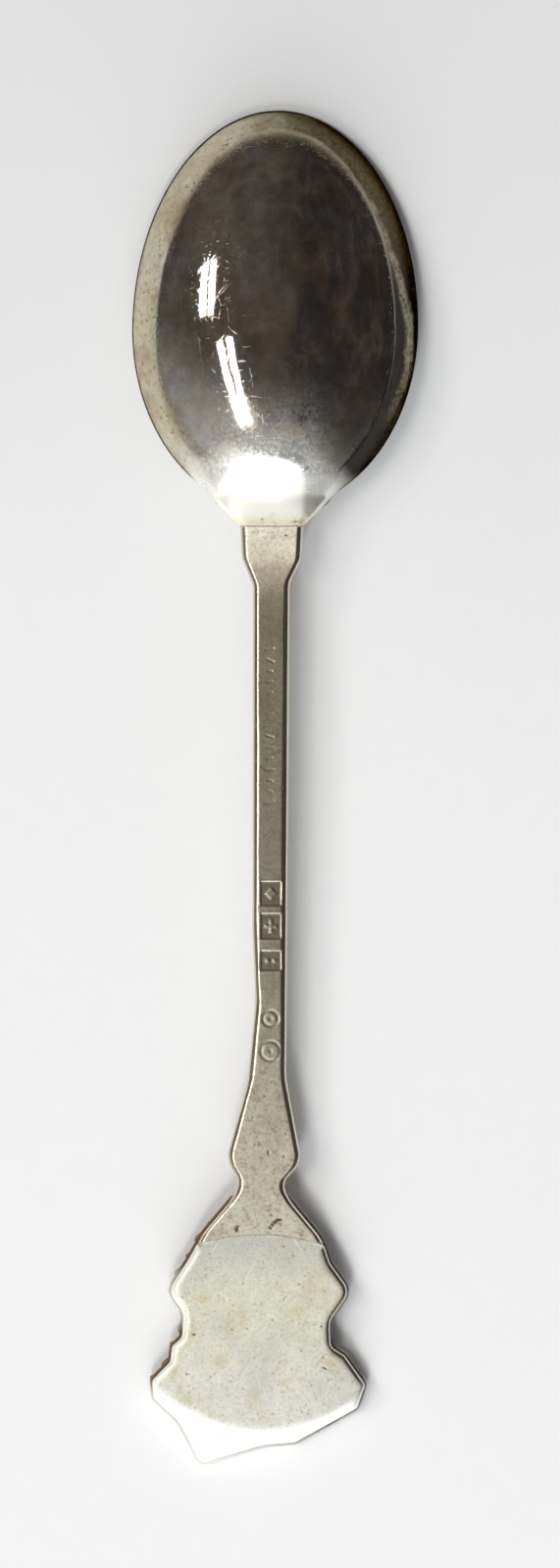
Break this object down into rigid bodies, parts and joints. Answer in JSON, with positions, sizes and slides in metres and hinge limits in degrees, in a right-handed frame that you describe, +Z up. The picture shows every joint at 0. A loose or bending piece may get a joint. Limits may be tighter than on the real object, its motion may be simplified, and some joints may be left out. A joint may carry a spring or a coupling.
{
  "type": "souvenir spoon",
  "caption": "Small metal souvenir spoon lying face down: oval bowl, slim flat stem with punched marks, and a shaped finial plate backing an enamelled badge.",
  "frame": {"origin": "on the table under the middle of the spoon's bounding box, with the spoon lying face down on it", "axes": "+Y from the finial to the bowl's tip, +Z up through the backs of the bowl and the handle, +X to the right of the back as seen with the bowl at the top"},
  "size_m": [0.0242, 0.115, 0.009],
  "materials": {
    "polished_silver": "silver plate, polished and lightly scratched, dull and tarnished at the rim",
    "worn_silver": "silver plate rubbed to a satin, warm tarnish, fine scratches",
    "struck_silver": "struck relief, dark in the hollows and bright on the ridges",
    "solder": "silver solder, greyer than the metal, with small dark pits",
    "enamel_red": "vitreous enamel, gloss",
    "enamel_blue": "vitreous enamel, gloss",
    "enamel_green": "vitreous enamel, gloss",
    "enamel_grey": "vitreous enamel, gloss",
    "enamel_white": "vitreous enamel, gloss"
  },
  "bodies": {
    "root": {"bowl": "polished_silver", "bowl_solder_joint": "solder", "stem": "worn_silver", "finial_plate": "worn_silver", "finial_solder_seam": "solder", "badge_frame": "struck_silver", "enamel_ribbon": "enamel_red", "enamel_lake": "enamel_blue", "enamel_meadow": "enamel_green", "enamel_mountain": "enamel_grey", "enamel_snow": "enamel_white"}
  },
  "joints": []
}
